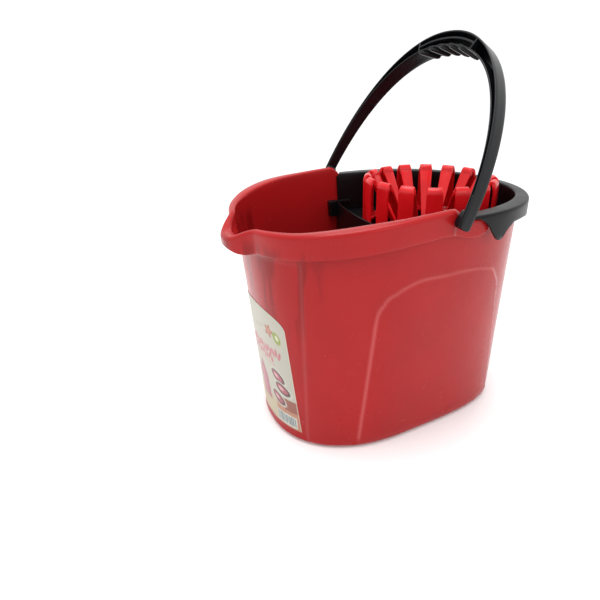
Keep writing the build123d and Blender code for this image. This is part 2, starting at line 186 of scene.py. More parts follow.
def grid_faces(rows, columns, wrap_rows=False, wrap_columns=False, start=0):
    """Quads of a grid of rows by columns, whose points are numbered row by row."""
    r, c = np.meshgrid(np.arange(rows if wrap_rows else rows - 1),
                       np.arange(columns if wrap_columns else columns - 1), indexing="ij")
    r, c = r.ravel(), c.ravel()
    up, right = (r + 1) % rows, (c + 1) % columns
    quads = np.stack([r * columns + c, r * columns + right, up * columns + right, up * columns + c], -1)
    return (quads + start).tolist()


def clean(piece, merge=0.00002):
    """Merges points closer than merge, in metres, and turns every face outwards."""
    work = bmesh.new()
    work.from_mesh(piece.data)
    bmesh.ops.remove_doubles(work, verts=work.verts, dist=merge)
    bmesh.ops.recalc_face_normals(work, faces=work.faces)
    work.to_mesh(piece.data)
    work.free()
    return piece


def shade(piece, angle=40):
    piece.data.shade_smooth()
    piece.data.set_sharp_from_angle(angle=math.radians(angle))
    return piece


def apply_modifiers(piece):
    """Bakes the modifiers into a plain mesh."""
    graph = bpy.context.evaluated_depsgraph_get()
    mesh = bpy.data.meshes.new_from_object(piece.evaluated_get(graph), depsgraph=graph)
    mesh.name = piece.name
    piece.modifiers.clear()
    piece.data = mesh
    return piece


def join(name, pieces):
    """One piece from several."""
    with bpy.context.temp_override(active_object=pieces[0], selected_editable_objects=pieces,
                                   selected_objects=pieces, object=pieces[0]):
        bpy.ops.object.join()
    pieces[0].name = pieces[0].data.name = name
    return pieces[0]


def loop_tube(name, stations):
    """A closed section carried along stations, with flat ends: stations is (along, around, 3)."""
    along, around = stations.shape[:2]
    faces = grid_faces(along, around, wrap_columns=True)
    faces.append(list(range(around))[::-1])
    faces.append(list(range((along - 1) * around, along * around)))
    return clean(new_mesh(name, stations.reshape(-1, 3), faces))


def finish_piece(piece, body, slot, material, *nodes):
    piece.data.materials.clear()
    piece.data.materials.append(material)
    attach(piece, body)
    if nodes:
        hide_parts(*nodes)
    return piece


# ---------------------------------------------------------------- colours and materials


def linear(hex_colour):
    """Linear RGBA of an sRGB hex colour."""
    parts = [int(hex_colour.lstrip("#")[i:i + 2], 16) / 255 for i in (0, 2, 4)]
    return tuple(p / 12.92 if p <= 0.04045 else ((p + 0.055) / 1.055) ** 2.4 for p in parts) + (1.0,)


def add_node(tree, kind, inputs=None, **values):
    """Adds a node with its settings; an input takes a number, a colour or another node's output."""
    made = tree.nodes.new(kind)
    for name, value in values.items():
        setattr(made, name, value)
    for key, value in (inputs or {}).items():
        if isinstance(value, bpy.types.NodeSocket):
            tree.links.new(value, made.inputs[key])
        else:
            made.inputs[key].default_value = value
    return made


def new_material(name):
    material = bpy.data.materials.new(name)
    material.use_nodes = True
    material.node_tree.nodes.clear()
    return material, material.node_tree


def moulded_plastic(name, colour, shade_colour, roughness, grain_mm, grain_depth, flow_mm, specular,
                    painted_reflection_streaks=False):
    """Injection-moulded polypropylene: even colour with faint flow clouding, and the mould's fine grain."""
    material, tree = new_material(name)
    place = add_node(tree, "ShaderNodeTexCoord").outputs["Object"]
    flow = add_node(tree, "ShaderNodeTexNoise", {"Vector": place, "Scale": 1000 / flow_mm, "Detail": 3.0})
    cloud = add_node(tree, "ShaderNodeMapRange", {"Value": flow.outputs["Fac"], "From Min": 0.35,
                                                  "From Max": 0.65})
    tint = add_node(tree, "ShaderNodeMix", {0: cloud.outputs["Result"], 6: shade_colour, 7: colour},
                    data_type="RGBA").outputs[2]
    if painted_reflection_streaks:
        # Painted reflections: dark upright streaks on the spout end, finer than the rest, stand in for the
        # room's reflections in its gloss.
        long = add_node(tree, "ShaderNodeMapping", {"Vector": place, "Scale": (1, 1, 0.12)})
        line = add_node(tree, "ShaderNodeTexNoise", {"Vector": long.outputs[0], "Scale": 1000 / 13,
                                                     "Detail": 1.5, "Distortion": 0.35})
        sharp = add_node(tree, "ShaderNodeMapRange", {"Value": line.outputs["Fac"], "From Min": 0.52,
                                                      "From Max": 0.58, "To Max": 0.75})
        split = add_node(tree, "ShaderNodeSeparateXYZ", {"Vector": place})
        ahead = add_node(tree, "ShaderNodeMapRange", {"Value": split.outputs["X"], "From Min": -0.118,
                                                      "From Max": -0.128})
        above = add_node(tree, "ShaderNodeMapRange", {"Value": split.outputs["Z"], "From Min": 0.12,
                                                      "From Max": 0.2})
        below = add_node(tree, "ShaderNodeMapRange", {"Value": split.outputs["Z"], "From Min": 0.262,
                                                      "From Max": 0.25})
        where = add_node(tree, "ShaderNodeMath", {0: ahead.outputs[0], 1: above.outputs[0]},
                         operation="MULTIPLY")
        there = add_node(tree, "ShaderNodeMath", {0: where.outputs[0], 1: below.outputs[0]},
                         operation="MULTIPLY")
        painted_reflection_mark = add_node(tree, "ShaderNodeMath", {0: sharp.outputs[0], 1: there.outputs[0]},
                        operation="MULTIPLY")
        tint = add_node(tree, "ShaderNodeMix", {0: painted_reflection_mark.outputs[0], 6: tint, 7: linear("#7A0D10")},
                        data_type="RGBA").outputs[2]
        # Painted highlight: the colour is made paler along the moulded creases, where a thin line of light
        # falls.
        crease = add_node(tree, "ShaderNodeAttribute", attribute_name="crease")
        pale = add_node(tree, "ShaderNodeMath", {0: crease.outputs["Fac"], 1: 0.3}, operation="MULTIPLY")
        tint = add_node(tree, "ShaderNodeMix", {0: pale.outputs[0], 6: tint, 7: linear("#D97A78")},
                        data_type="RGBA").outputs[2]
    # Handling marks change the gloss a little over a few centimetres.
    rub = add_node(tree, "ShaderNodeTexNoise", {"Vector": place, "Scale": 1000 / 22, "Detail": 5.0,
                                                "Roughness": 0.6})
    gloss = add_node(tree, "ShaderNodeMapRange", {"Value": rub.outputs["Fac"], "From Min": 0.3,
                                                  "From Max": 0.7, "To Min": roughness - 0.035,
                                                  "To Max": roughness + 0.045})
    grain = add_node(tree, "ShaderNodeTexNoise", {"Vector": place, "Scale": 1000 / grain_mm, "Detail": 2.0})
    fine = add_node(tree, "ShaderNodeBump", {"Height": grain.outputs["Fac"], "Distance": grain_depth * MM,
                                             "Strength": 1.0})
    # Sink and draw marks: the wall is never quite flat over a hand's width.
    draw = add_node(tree, "ShaderNodeTexNoise", {"Vector": place, "Scale": 1000 / 45, "Detail": 1.0})
    wave = add_node(tree, "ShaderNodeBump", {"Height": draw.outputs["Fac"], "Distance": 0.45 * MM,
                                             "Strength": 1.0, "Normal": fine.outputs["Normal"]})
    shader = add_node(tree, "ShaderNodeBsdfPrincipled",
                      {"Base Color": tint, "Roughness": gloss.outputs["Result"], "IOR": 1.49,
                       "Specular IOR Level": specular,
                       "Normal": wave.outputs["Normal"]})
    add_node(tree, "ShaderNodeOutputMaterial", {"Surface": shader.outputs["BSDF"]})
    return material


def bucket_plastic():
    # Polypropylene moulded in a polished tool: semi-gloss, with soft broad reflections of the room.
    s = settings()
    # The spout end gets painted reflection streaks.
    return moulded_plastic("moulded_polypropylene_red", s.bucket_red, linear("#961618"), 0.24, 1.2, 0.002,
                           60, 0.2, painted_reflection_streaks=True)


def basket_plastic():
    # Polypropylene in a brighter red, a little more polished, as springy parts are.
    s = settings()
    return moulded_plastic("moulded_polypropylene_bright_red", s.basket_red, linear("#C20F16"), 0.24, 1.2,
                            0.003, 30, 0.35)


def frame_plastic():
    # Black polypropylene from a spark-textured tool: satin, and greyer where it faces the light.
    s = settings()
    return moulded_plastic("moulded_polypropylene_black", s.frame_black, linear("#08080A"), 0.33, 0.9, 0.008,
                            40, 0.16)


def handle_plastic():
    # The same black plastic as the wringer frame, a little smoother.
    s = settings()
    return moulded_plastic("moulded_polypropylene_black_bail", s.handle_black, linear("#08090C"), 0.3, 0.9,
                            0.006, 35, 0.28)


def label_film():
    # Printed polypropylene film: flat ink under a thin matt varnish, greyed a little by a faint dot screen.
    material, tree = new_material("printed_film_label")
    print_colour = add_node(tree, "ShaderNodeAttribute", attribute_name="print")
    place = add_node(tree, "ShaderNodeTexCoord").outputs["Object"]
    # A real screen has 7 dots a millimetre; it is drawn at one dot every 0.9 mm so that it shows.
    screen = add_node(tree, "ShaderNodeTexVoronoi", {"Vector": place, "Scale": 1000 / 0.9})
    dots = add_node(tree, "ShaderNodeMapRange", {"Value": screen.outputs["Distance"], "To Min": 0.69,
                                                 "To Max": 0.73, "From Max": 0.5})
    ink = add_node(tree, "ShaderNodeMix", {0: 1.0, 6: print_colour.outputs["Color"],
                                           7: dots.outputs["Result"]}, data_type="RGBA",
                   blend_type="MULTIPLY")
    wrinkle = add_node(tree, "ShaderNodeTexNoise", {"Vector": place, "Scale": 1000 / 14, "Detail": 2.0})
    bump = add_node(tree, "ShaderNodeBump", {"Height": wrinkle.outputs["Fac"], "Distance": 0.12 * MM,
                                             "Strength": 1.0})
    shader = add_node(tree, "ShaderNodeBsdfPrincipled", {"Base Color": ink.outputs[2], "Roughness": 0.42,
                                                         "IOR": 1.5, "Normal": bump.outputs["Normal"]})
    add_node(tree, "ShaderNodeOutputMaterial", {"Surface": shader.outputs["BSDF"]})
    return material


# ---------------------------------------------------------------- repeated pieces


def round_array_tree(name):
    """Copies a piece round an axis: the fingers of the basket, its drain holes and the grip's ridges."""
    tree = bpy.data.node_groups.new(name, "GeometryNodeTree")
    tree.is_modifier = True
    face = tree.interface
    face.new_socket("Piece", in_out="INPUT", socket_type="NodeSocketGeometry")
    for label, kind in (("Count", "Int"), ("First Angle", "Float"), ("Step Angle", "Float"),
                        ("Axis", "Vector"), ("Centre", "Vector"), ("Plastic", "Material")):
        face.new_socket(label, in_out="INPUT", socket_type="NodeSocket" + kind)
    face.new_socket("Pieces", in_out="OUTPUT", socket_type="NodeSocketGeometry")
    given = add_node(tree, "NodeGroupInput").outputs
    points = add_node(tree, "GeometryNodePoints", {"Count": given["Count"]})
    copies = add_node(tree, "GeometryNodeInstanceOnPoints", {"Points": points.outputs[0],
                                                             "Instance": given["Piece"]})
    number = add_node(tree, "GeometryNodeInputIndex")
    angle = add_node(tree, "ShaderNodeMath", {0: number.outputs[0], 1: given["Step Angle"],
                                              2: given["First Angle"]}, operation="MULTIPLY_ADD")
    turn = add_node(tree, "FunctionNodeAxisAngleToRotation",
                    {"Axis": given["Axis"], "Angle": angle.outputs[0]})
    turned = add_node(tree, "GeometryNodeRotateInstances", {"Instances": copies.outputs[0],
                                                            "Rotation": turn.outputs[0],
                                                            "Pivot Point": given["Centre"],
                                                            "Local Space": False})
    real = add_node(tree, "GeometryNodeRealizeInstances", {"Geometry": turned.outputs[0]})
    painted = add_node(tree, "GeometryNodeSetMaterial", {"Geometry": real.outputs[0],
                                                         "Material": given["Plastic"]})
    add_node(tree, "NodeGroupOutput", {"Pieces": painted.outputs[0]})
    return tree


def repeat_round(piece, count, first, step, axis, centre, plastic):
    """Turns one piece into a ring or row of them, as a plain mesh."""
    tree = bpy.data.node_groups.get("round array") or round_array_tree("round array")
    modifier = piece.modifiers.new("round array", "NODES")
    modifier.node_group = tree
    values = {"Count": count, "First Angle": first, "Step Angle": step, "Axis": axis, "Centre": centre,
              "Plastic": plastic}
    for item in tree.interface.items_tree:
        if item.in_out == "INPUT" and item.name in values:
            modifier[item.identifier] = values[item.name]
    return apply_modifiers(piece)


# ---------------------------------------------------------------- bucket


def panel_edge(x, z):
    """How far inside the raised side panel's outline a point of the side view lies."""
    left, right = -81 + 11 * (z - 2) / 174, 131 - 24 * (z - 2) / 174
    crown = ((-71, 172), (-70, 178), (-62, 198), (-48, 209), (-31, 216.5), (12, 218.5), (54, 217),
             (76, 212.5), (88, 208), (97, 197), (106, 180), (108, 172))
    high = smooth_line(crown, x)
    slope = (smooth_line(crown, x + 1) - smooth_line(crown, x - 1)) / 2
    return np.minimum(np.minimum(x - left, right - x), (high - z) / np.sqrt(1 + slope**2))


def panel_relief(x, z):
    """How far the raised side panel stands out, with a fine bead along its edge."""
    inside = panel_edge(x, z)
    bead = 0.35 * np.exp(-((inside - 0.6) / 1.7) ** 2)
    return settings().panel_proud / MM * ease(inside, -1.4, 1.4) + bead


def end_crease(z):
    """Distance from the middle of the two upright creases that frame the spout end."""
    return 67 + 18 * (z - 9) / 238


def crease_highlight_strength(x, y, z):
    """Strength of the painted highlight along the moulded creases of the outer wall: 1 on them, falling to 0
    within two millimetres.
    """
    panel = np.exp(-((panel_edge(x, z) - 0.5) / 1.7) ** 2) * ease(z, 6, 20)
    end = np.exp(-((np.abs(y) - end_crease(z)) / 1.6) ** 2) * (x < -90) * 0.2
    return np.maximum(panel, end)


def end_recess(y, z):
    """The spout end is a little sunk between two upright creases."""
    crease = end_crease(z)
    return -1.4 * (1 - ease(np.abs(y), crease - 1.2, crease + 1.6)) * (1 - ease(z, 240, 246))


def bucket_stations(count):
    """Angles round the bucket, closer together at the spout, the ears and the panels' upright edges."""
    fine = np.linspace(0, TAU, 8001)
    plan = oval(fine, SHOULDER_OVAL)
    step = np.linalg.norm(np.diff(plan, axis=0), axis=1)
    middle = (plan[1:] + plan[:-1]) / 2
    x = middle[:, 0]
    close = 1 + np.exp(-((x - 15) / 13) ** 2) + 0.6 * np.exp(-((x + 165) / 14) ** 2)
    close += np.exp(-((x + 74) / 8) ** 4) + 0.8 * np.exp(-((x - 122) / 14) ** 4)
    along = np.concatenate([[0], np.cumsum(step * close)])
    return np.interp(np.arange(count) / count * along[-1], along, fine)


def bucket_rings(angles):
    """Rings of points from the middle of the inner floor, over the rim, to the middle of the underside."""
    shoulder = oval(angles, SHOULDER_OVAL)
    normal = outward(shoulder)
    band = band_offset(shoulder, normal)
    face = shoulder + normal * band[:, None]
    wall = settings().wall / MM
    top = smooth_line(RIM_LINE, face[:, 0])
    low = smooth_line(SKIRT_LINE, face[:, 0])
    drop = top - low
    # The lip's channel: the wall leans out under it to meet the spout.
    channel = 0.88 * spout_bulge(face[:, 1]) * (face[:, 0] < 0)
    outer_roll = np.clip(0.33 * drop, 1.2, 4.6) + 0.09 * channel
    inner_roll = np.clip(outer_roll, 1.0, 2.6) + 0.14 * channel

    def place(out, z):
        out, z = np.broadcast_to(out, angles.shape), np.broadcast_to(z, angles.shape)
        plan = wall_plan(angles, z) + normal * out[:, None]
        return np.concatenate([plan, z[:, None]], 1)

    def lean(z):
        return channel * np.clip((z - 241) / np.maximum(top - 241, 1), 0, 1) ** 1.5

    rings, creases = [], {}
    heart = np.array([6.0, 0.0])
    floor_edge = place(-wall - INSIDE_ROUND, INSIDE_FLOOR_Z)
    corner = INSIDE_FLOOR_Z + INSIDE_ROUND
    # The inner floor, with the gate's mark a little sunk in its middle, its corner and the inner wall.
    for share in (0.0, 0.02, 0.06, 0.07, 0.2, 0.4, 0.6, 0.8, 0.93):
        ring = floor_edge.copy()
        ring[:, :2] = heart + (ring[:, :2] - heart) * share
        ring[:, 2] = INSIDE_FLOOR_Z - 0.4 if share < 0.065 else INSIDE_FLOOR_Z
        rings.append(ring)
    for turn in np.linspace(0, math.pi / 2, 7):
        rings.append(place(-wall - INSIDE_ROUND + INSIDE_ROUND * math.sin(turn),
                           corner - INSIDE_ROUND * math.cos(turn)))
    inner_top = top - inner_roll
    for share in np.linspace(0, 1, 46)[1:]:
        z = corner + (inner_top - corner) * share
        rings.append(place(lean(z) - wall, z))
    # Over the rim.
    inner_edge = lean(inner_top) - wall
    for turn in np.linspace(0, math.pi / 2, 7)[1:]:
        rings.append(place(inner_edge + inner_roll * (1 - math.cos(turn)),
                           inner_top + inner_roll * math.sin(turn)))
    crown_in, crown_out = inner_edge + inner_roll, band - outer_roll
    for share in (0.25, 0.5, 0.75, 1.0):
        rings.append(place(crown_in + (crown_out - crown_in) * share,
                           top + 0.35 * math.sin(math.pi * share)))
    for turn in np.linspace(0, math.pi / 2, 10)[1:]:
        rings.append(place(crown_out + outer_roll * math.sin(turn), top - outer_roll * (1 - math.cos(turn))))
    # Down the band's face, round its lower edge and up behind it to the wall.
    bead = np.clip(0.2 * drop, 0.5, 1.2)
    for share in np.linspace(0, 1, 7)[1:]:
        rings.append(place(band, top - outer_roll + (low + bead - top + outer_roll) * share))
    for turn in np.linspace(0, math.pi, 7)[1:]:
        rings.append(place(band - bead + bead * math.cos(turn), low + bead - bead * math.sin(turn)))
    skin = np.maximum(2 * bead, 1.0)
    under = top - 2.8
    high = np.minimum(under - 0.8, low + 0.75 * (under - low) + 2)
    for share in (0.35, 0.7, 1.0):
        rings.append(place(band - skin, low + bead + (high - low - bead) * share))
    rings.append(place(band - skin - 0.5, under))
    outside = lean(under)
    for share in (0.5, 0.88):
        rings.append(place(band - skin - 0.5 + (outside - band + skin + 0.5) * share, under))
    # Down the outer wall.
    start = under - 1.0
    for share in np.concatenate([np.linspace(0, 0.21, 18)[:-1], np.linspace(0.21, 0.45, 50)[:-1],
                                 np.linspace(0.45, 1, 40)]):
        z = start + (FOOT_ROUND - start) * share
        at = wall_plan(angles, z)
        relief = panel_relief(at[:, 0], z) + np.where(at[:, 0] < -90, end_recess(at[:, 1], z), 0)
        relief = relief * ease(z, 4, 12)
        # Strength of the painted crease highlight at each point of this ring.
        creases[len(rings)] = crease_highlight_strength(at[:, 0], at[:, 1], z)
        rings.append(place(lean(z) + relief, z))
    # Round the foot, over the standing ring and in across the underside.
    sunk = panel_relief(shoulder[:, 0] * 0.9, np.full(len(angles), FOOT_ROUND)) * ease(FOOT_ROUND, 4, 12)
    for turn in np.linspace(0, math.pi / 2, 8)[1:]:
        rings.append(place(-FOOT_ROUND + FOOT_ROUND * math.cos(turn) + sunk * math.cos(turn),
                           FOOT_ROUND - FOOT_ROUND * math.sin(turn)))
    rings.append(place(-11.5, 0.0))
    rings.append(place(-12.2, 0.6))
    rings.append(place(-12.6, 2.0))
    under_edge = place(-13.0, 2.0)
    for share in (0.97, 0.8, 0.6, 0.4, 0.2, 0.08, 0.02, 0.0):
        ring = under_edge.copy()
        ring[:, :2] = heart + (ring[:, :2] - heart) * share
        rings.append(ring)
    crease = np.zeros((len(rings), len(angles)))
    for number, values in creases.items():
        crease[number] = values
    return np.stack(rings), crease


class MOPBUCKET_OT_bucket(bpy.types.Operator):
    """Moulds the red bucket: tapered oval body, raised side panels, wavy rolled rim, spout and ears"""
    bl_idname = "mop_bucket.bucket"
    bl_label = "Bucket"
    bl_options = {"REGISTER", "UNDO"}

    def execute(self, context):
        rings, crease = bucket_rings(bucket_stations(440))
        count, around = rings.shape[:2]
        piece = new_mesh("bucket_body", rings.reshape(-1, 3), grid_faces(count, around, wrap_columns=True))
        # The painted crease highlight's strength, kept on the points for the material.
        crease_highlight_layer = piece.data.attributes.new("crease", "FLOAT", "POINT")
        crease_highlight_layer.data.foreach_set("value", crease.ravel().astype("f"))
        clean(piece)
        finish_piece(shade(piece, 55), "bucket", "bucket_plastic", bucket_plastic(), "bucket")
        return {"FINISHED"}


# ---------------------------------------------------------------- label


# Lower edge, top of the straight sides and height of the arch above them; half-width of the label at those
# two heights.
LABEL_LOW, LABEL_SIDE_TOP, LABEL_ARCH = 16, 156, 20
LABEL_HALF_TOP, LABEL_HALF_SPREAD = 58.5, 2.5


def label_half(z):
    """Half-width of the label at a height; it widens downwards."""
    down = (LABEL_SIDE_TOP - z) / (LABEL_SIDE_TOP - LABEL_LOW)
    return LABEL_HALF_TOP + LABEL_HALF_SPREAD * np.clip(down, 0, 1)


def label_print(y, z):
    """Colour of the print at points of the label: a star, a leaf, strokes, pictures and bars."""
    paper = np.array(linear("#BFBBAC")[:3])
    colour = np.tile(paper, (len(y), 1)) * (1 + 0.04 * np.cos(y / 30))[:, None]
    across = -y

    def ink(mask, hex_colour, amount=1.0):
        share = (np.clip(mask, 0, 1) * amount)[:, None]
        colour[:] = colour * (1 - share) + np.array(linear(hex_colour)[:3]) * share

    def blob(cx, cz, wide, high, turn=0.0, edge=0.25):
        c, s = math.cos(turn), math.sin(turn)
        u, v = (across - cx) * c + (z - cz) * s, -(across - cx) * s + (z - cz) * c
        return (1 + edge - np.hypot(u / wide, v / high)) / edge

    def box(low_a, high_a, low_z, high_z):
        return ((across > low_a) & (across < high_a) & (z > low_z) & (z < high_z)).astype(float)

    # A small pale arc of leaves, a star and a leaf stand at the top.
    for step in range(9):
        ink(blob(-42 + 7.2 * step, 148 + 3 * math.sin(step * 0.9), 1.6, 2.2), "#A3A374", 0.7)
    turn = np.arctan2(z - 149, across - 30)
    ink((7.4 + 2.0 * np.cos(5 * turn) - np.hypot(across - 30, z - 149)) / 1.2, "#A85F49", 0.9)
    ink((4.8 + 1.4 * np.cos(5 * turn) - np.hypot(across - 30, z - 149)) / 1.2, "#C98C72", 0.9)
    ink(blob(44, 144, 5.0, 7.2, 0.5), "#8F9F35", 0.95)
    ink(blob(44.5, 144.5, 2.2, 3.4, 0.5), "#D8D8B8")
    # Two rows of soft pink strokes.
    for row, (height, strokes) in enumerate(((121, 15), (111, 12))):
        for step in range(strokes):
            at = -34 + 5.6 * step + 1.5 * row
            ink(blob(at, height + 1.6 * math.sin(2.1 * step), 2.0, 5.4 - 1.6 * row,
                     0.35 * math.sin(step * 1.7)), "#C4626E", 0.85)
    ink(box(-20, 34, 102, 104.5), "#C99B96", 0.6)
    # A tall pink panel, three framed pictures and a warm ground.
    ink(((z < 60) & (across > 24)).astype(float) * (1 - 0.3 * ((z - 30) / 30)), "#BC7148", 0.85)
    ink(((z < 50) & (across < 24)).astype(float), "#CDB682", 0.5)
    ink(((z < 60) & (z > 42) & (across > 40)).astype(float), "#914B40", 0.85)
    lean = across + 2 + 0.12 * (z - 60)
    ink(((np.abs(lean) < 12 * np.clip((96 - z) / 20, 0, 1)) & (z > 40)).astype(float), "#AE5A6C", 0.9)
    ink(((np.abs(lean + 3) < 5 * np.clip((90 - z) / 20, 0, 1)) & (z > 44)).astype(float), "#C9818F", 0.9)
    for cx, cz, turn in ((35, 88, -0.45), (41, 72, -0.35), (31, 55, -0.5)):
        ink(blob(cx, cz, 13.0, 7.8, turn), "#DEDACD")
        ink(blob(cx, cz, 11.4, 6.4, turn), "#33241F")
        ink(blob(cx - 0.6, cz + 0.3, 8.4, 4.0, turn, 0.4), "#B4606E")
        ink(blob(cx - 2.5, cz + 0.8, 3.6, 2.0, turn, 0.5), "#D9ABAB")
    ink(box(23, 57, 18, 36), "#D5D3CA")
    for step in range(12):
        ink(box(25 + 2.6 * step, 26.4 + 2.6 * step, 20.5, 34), "#44656C", 0.9)
    edge = label_half(z) - np.abs(y)
    ink(1 - ease(edge, 0.6, 1.6), "#E0C9B8", 0.7)
    return np.concatenate([colour, np.ones((len(y), 1))], 1)


def label_grid():
    """Label points on the bucket's spout end, with their places across and up."""
    across = np.sin(np.linspace(-math.pi / 2, math.pi / 2, 133))
    top = LABEL_SIDE_TOP + LABEL_ARCH * (1 - np.abs(across) ** 2.6) ** (1 / 2.2)
    up = np.linspace(0, 1, 181)[:, None]
    z = LABEL_LOW + (top - LABEL_LOW)[None, :] * up
    y = across[None, :] * label_half(z)
    low, high = np.full(z.shape, math.pi / 2), np.full(z.shape, 1.5 * math.pi)
    for _ in range(HALVINGS):
        mid = (low + high) / 2
        at = wall_plan(mid.ravel(), z.ravel())[:, 1].reshape(z.shape)
        low, high = np.where(at > y, mid, low), np.where(at > y, high, mid)
    angle = ((low + high) / 2).ravel()
    here = wall_plan(angle, z.ravel())
    normal = right_of(wall_plan(angle + 0.004, z.ravel()) - wall_plan(angle - 0.004, z.ravel()))
    return here, normal, y.ravel(), z.ravel(), z.shape


class MOPBUCKET_OT_label(bpy.types.Operator):
    """Prints the film label and lays it in the spout end of the bucket"""
    bl_idname = "mop_bucket.label"
    bl_label = "Front label"
    bl_options = {"REGISTER", "UNDO"}

    def execute(self, context):
        here, normal, y, z, shape = label_grid()
        # The film's back and face, in the sunk spout end.
        layers = [np.concatenate([here + normal * out, z[:, None]], 1) for out in (-1.32, -1.02)]
        rows, columns = shape
        size = rows * columns
        back = [quad[::-1] for quad in grid_faces(rows, columns)]
        front = grid_faces(rows, columns, start=size)
        border = (list(range(columns)) + [r * columns + columns - 1 for r in range(1, rows)]
                  + [(rows - 1) * columns + c for c in range(columns - 2, -1, -1)]
                  + [r * columns for r in range(rows - 2, 0, -1)])
        rim = [(a, b, b + size, a + size) for a, b in zip(border, border[1:] + border[:1])]
        piece = new_mesh("front_label_film", np.concatenate(layers), back + front + rim)
        ink = piece.data.color_attributes.new("print", "FLOAT_COLOR", "POINT")
        ink.data.foreach_set("color", np.concatenate([label_print(y, z)] * 2).astype(np.float32).ravel())
        clean(piece, merge=0.000001)
        finish_piece(shade(piece, 50), "bucket", "label_paper", label_film(), "front_label")
        return {"FINISHED"}


# ---------------------------------------------------------------- wringer frame

TAB_LINE = ((24, 279.0), (36, 278.8), (44, 274.5), (52, 267), (58, 259.5), (63, 254), (69, 251), (75, 253),
            (80, 258), (86, 262), (97, 266), (115, 265.5), (150, 261), (195, 258))
CROSS_SIDE_X, CROSS_SIDE_Y, CROSS_FRONT_X = 10.0, 120.0, -6.5
DECK_Z, DECK_THICK = 230.0, 2.5
COLLAR_Z = 282.3


def cross_radius():
    bow = CROSS_SIDE_X - CROSS_FRONT_X
    return (CROSS_SIDE_Y**2 + bow**2) / (2 * bow)


def in_collar(x, y):
    """Below zero inside the collar's plan."""
    behind = np.clip((x - COLLAR_CENTRE) / COLLAR_REACH, 0, None)
    return behind**COLLAR_POWER + np.abs(y / COLLAR_HALF) ** COLLAR_POWER - 1


def angle_at_x(x, z):
    """Angle on the +Y side where the wall's plan at a height has that x."""
    low, high = 0.0, math.pi
    for _ in range(50):
        mid = (low + high) / 2
        if wall_plan(np.array([mid]), z)[0, 0] > x:
            low = mid
        else:
            high = mid
    return (low + high) / 2


def collar_rails(count):
    """The collar and apron as a closed section carried round the wringer end, one rail at a time."""
    def rail(start_x, out_of, height_of, wall_z=None):
        limit = angle_at_x(start_x, 275.0 if wall_z is None else wall_z)
        angles = np.linspace(-limit, limit, count)
        shoulder = oval(angles, SHOULDER_OVAL)
        normal = right_of(oval(angles + 0.003, SHOULDER_OVAL) - oval(angles - 0.003, SHOULDER_OVAL))
        collar = stand_off(in_collar, shoulder, normal, 60.0)
        face = shoulder + normal * collar[:, None]
        z = np.broadcast_to(height_of(face[:, 0]), angles.shape)
        out = out_of(collar, angles, z)
        if wall_z is None:
            plan = shoulder + normal * out[:, None]
        else:
            plan = wall_plan(angles, z) + normal * out[:, None]
        return np.concatenate([plan, z[:, None]], 1)

    top, plate, skin = COLLAR_Z, 3.0, 2.4
    inner, outer = -5.2, -3.0  # the apron's two faces, out from the wall's plan
    roll = 2.2
    rails = []
    # Up the apron's inner face and over its roll.
    for z in (227.6, 236, 245, 254, 263, 272, top - roll):
        rails.append(rail(14.0, lambda c, a, h: np.full(count, inner), lambda x, z=z: z, wall_z=z))
    for turn in np.linspace(0.25, 1, 4) * math.pi / 2:
        rails.append(rail(15.0 + 4 * math.sin(turn),
                          lambda c, a, h, t=turn: inner + roll * (1 - math.cos(t)) + 0 * c,
                          lambda x, t=turn: top - roll + roll * math.sin(t), wall_z=top))

    def outward_share(share):
        """A plate rail between the apron's roll and the collar's, which starts 1.9 mm further out."""
        return lambda c, a, h: (inner + roll + 1.9) * (1 - share) + (c - 3.0) * share

    # Out over the collar's top plate, round its edge and down its outer face to the tab's edge.
    for share in (0.3, 0.6, 1.0):
        rails.append(rail(22.0 + 2 * share, outward_share(share), lambda x: top + 0 * x))
    for turn in np.linspace(0.2, 1, 6) * math.pi / 2:
        rails.append(rail(24.0 + 3 * (1 - math.cos(turn)),
                          lambda c, a, h, t=turn: c - 3.0 + 3.0 * math.sin(t),
                          lambda x, t=turn: top - 3.0 * (1 - math.cos(t)) + 0 * x))
    for share in (0.2, 0.4, 0.6, 0.8, 1.0):
        rails.append(rail(27.0 + 2 * share, lambda c, a, h: c,
                          lambda x, s=share: (top - 3.0) * (1 - s) + (smooth_line(TAB_LINE, x) + 0.6) * s))
    # Round the edge and up the skirt's inner face.
    for out in (0.5, 1.9):
        rails.append(rail(29.5, lambda c, a, h, out=out: c - out, lambda x: smooth_line(TAB_LINE, x)))
    rails.append(rail(29.0, lambda c, a, h: c - skin, lambda x: smooth_line(TAB_LINE, x) + 0.6))
    under = top - plate
    for share in (0.5, 1.0):
        rails.append(rail(27.5, lambda c, a, h: c - skin,
                          lambda x, s=share: (smooth_line(TAB_LINE, x) + 0.6) * (1 - s) + (under - 0.3) * s))
    # In along the plate's underside and down the apron's outer face.
    rails.append(rail(26.5, lambda c, a, h: c - skin - 0.6, lambda x: under + 0 * x))
    rails.append(rail(22.0, lambda c, a, h: 0 * c + 3, lambda x: under + 0 * x))
    rails.append(rail(18.0, lambda c, a, h: outer + 0.6 + roll + 0 * c, lambda x: under + 0 * x))
    for z in (under - 1.5, 270, 256, 242, 227.6):
        rails.append(rail(14.0, lambda c, a, h: np.full(count, outer), lambda x, z=z: z, wall_z=z))
    return np.stack(rails, 1)


